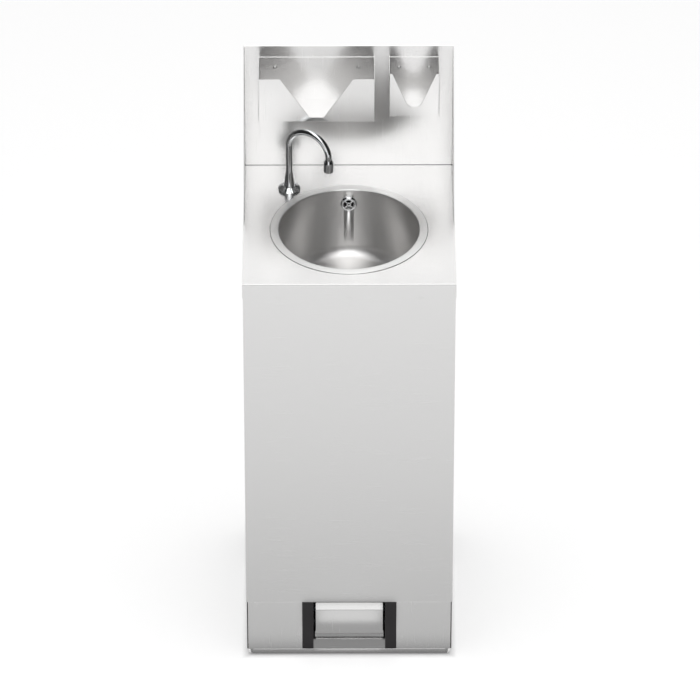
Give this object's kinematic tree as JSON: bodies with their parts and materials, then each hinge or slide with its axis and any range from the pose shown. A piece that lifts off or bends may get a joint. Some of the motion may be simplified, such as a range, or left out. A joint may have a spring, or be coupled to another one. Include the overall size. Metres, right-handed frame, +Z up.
{
  "type": "mobile hand wash station",
  "caption": "Mobile stainless hand wash station: round bowl, swan-neck tap worked by a foot pump, splashback with towel and soap holders, rear door, tanks and wheels.",
  "frame": {"origin": "on the floor, under the middle of the overall box", "axes": "+X to the user's right, +Y from the front panel to the rear door, +Z up"},
  "size_m": [0.4024, 0.4632, 1.152],
  "materials": {
    "stainless_sheet": "brushed, fine grain",
    "bowl_steel": "spun and satin polished",
    "holder_steel": "brushed, fine grain",
    "pedal_steel": "brushed, fine grain",
    "handle_tube": "satin polished tube",
    "stainless_fastener": "plain machined stainless",
    "zinc_steel": "zinc plated",
    "spring_steel": "drawn spring wire",
    "chrome": "polished chrome plate",
    "brass": "machined",
    "plinth_plastic": "moulded, satin black",
    "black_plastic": "moulded, black",
    "pump_acetal": "turned white acetal",
    "hub_plastic": "moulded, grey",
    "tank_polythene": "blow-moulded, milky white",
    "cap_blue": "moulded, blue",
    "cap_grey": "moulded, grey",
    "seal_rubber": "moulded black rubber",
    "tyre_rubber": "moulded dark grey rubber",
    "water_hose": "smooth reinforced hose",
    "waste_hose_plastic": "smooth flexible hose, grey"
  },
  "bodies": {
    "cabinet": {"worktop_and_front": "stainless_sheet", "splashback": "stainless_sheet", "splash_gusset_left": "stainless_sheet", "splash_gusset_right": "stainless_sheet", "side_panel_left": "stainless_sheet", "side_panel_right": "stainless_sheet", "cabinet_floor": "stainless_sheet", "front_brace": "stainless_sheet", "front_rivets": "stainless_fastener", "bowl": "bowl_steel", "overflow_rosette": "chrome", "overflow_elbow": "black_plastic", "waste_strainer": "bowl_steel", "waste_gasket": "seal_rubber", "waste_body": "black_plastic", "tap_base": "chrome", "tap_backnut": "brass", "towel_holder": "holder_steel", "soap_holder": "holder_steel", "holder_screws": "stainless_fastener", "hinge_frame_leaves": "stainless_fastener", "hinge_pins": "stainless_fastener", "rear_handle": "handle_tube", "handle_screws": "stainless_fastener", "sheet_nuts": "stainless_fastener", "plinth_housing": "plinth_plastic", "kick_plate_left": "stainless_sheet", "kick_plate_right": "stainless_sheet", "base_tray": "stainless_sheet", "front_feet": "seal_rubber", "axle": "zinc_steel", "axle_caps": "black_plastic", "pedal_brackets": "zinc_steel", "pedal_pin": "zinc_steel", "pump_body": "black_plastic", "pump_cap": "black_plastic", "pump_spring": "spring_steel", "fresh_tank": "tank_polythene", "fresh_tank_cap": "cap_blue", "dip_tube": "pump_acetal", "waste_tank": "tank_polythene", "waste_tank_cap": "cap_grey", "suction_hose": "water_hose", "supply_hose": "water_hose", "waste_hose": "waste_hose_plastic", "overflow_hose": "waste_hose_plastic", "hose_clips": "stainless_fastener"},
    "pedal": {"foot_pedal": "pedal_steel"},
    "plunger": {"pump_plunger": "pump_acetal"},
    "spout": {"tap_spout": "chrome", "tap_aerator": "chrome"},
    "door": {"rear_door": "stainless_sheet", "hinge_door_leaves": "stainless_fastener", "lock_housing": "zinc_steel"},
    "lock": {"lock_cam": "zinc_steel"},
    "wheel_left": {"tyre_left": "tyre_rubber", "wheel_hub_left": "hub_plastic"},
    "wheel_right": {"tyre_right": "tyre_rubber", "wheel_hub_right": "hub_plastic"}
  },
  "joints": [
    {"name": "pedal_press", "type": "hinge", "parent": "cabinet", "child": "pedal", "pos_m": [0, -0.0191, 0.081], "axis": [1, 0, 0], "range_deg": [0, 6], "stiffness_Nm_per_rad": 30, "springref_deg": -5.73},
    {"name": "plunger_slide", "type": "slide", "parent": "cabinet", "child": "plunger", "axis": [0, 0, -1], "range_m": [0, 0.0106], "deforming": ["pump_spring"]},
    {"name": "spout_swivel", "type": "hinge", "parent": "cabinet", "child": "spout", "pos_m": [-0.114, 0.0899, 0.889], "axis": [0, 0, 1], "range_deg": [-100, 50]},
    {"name": "door_swing", "type": "hinge", "parent": "cabinet", "child": "door", "pos_m": [0.17425, 0.1776, 0.484], "axis": [0, 0, -1], "range_deg": [0, 110]},
    {"name": "lock_turn", "type": "hinge", "parent": "door", "child": "lock", "pos_m": [-0.1485, 0.1741, 0.48425], "axis": [0, 1, 0], "range_deg": [0, 90]},
    {"name": "wheel_left_spin", "type": "hinge", "parent": "cabinet", "child": "wheel_left", "pos_m": [-0.165, 0.1321, 0.05], "axis": [1, 0, 0], "continuous": true},
    {"name": "wheel_right_spin", "type": "hinge", "parent": "cabinet", "child": "wheel_right", "pos_m": [0.165, 0.1321, 0.05], "axis": [1, 0, 0], "continuous": true}
  ],
  "couplings": [
    {"joint": "plunger_slide", "follows": "pedal_press", "m_per_rad": 0.1}
  ]
}
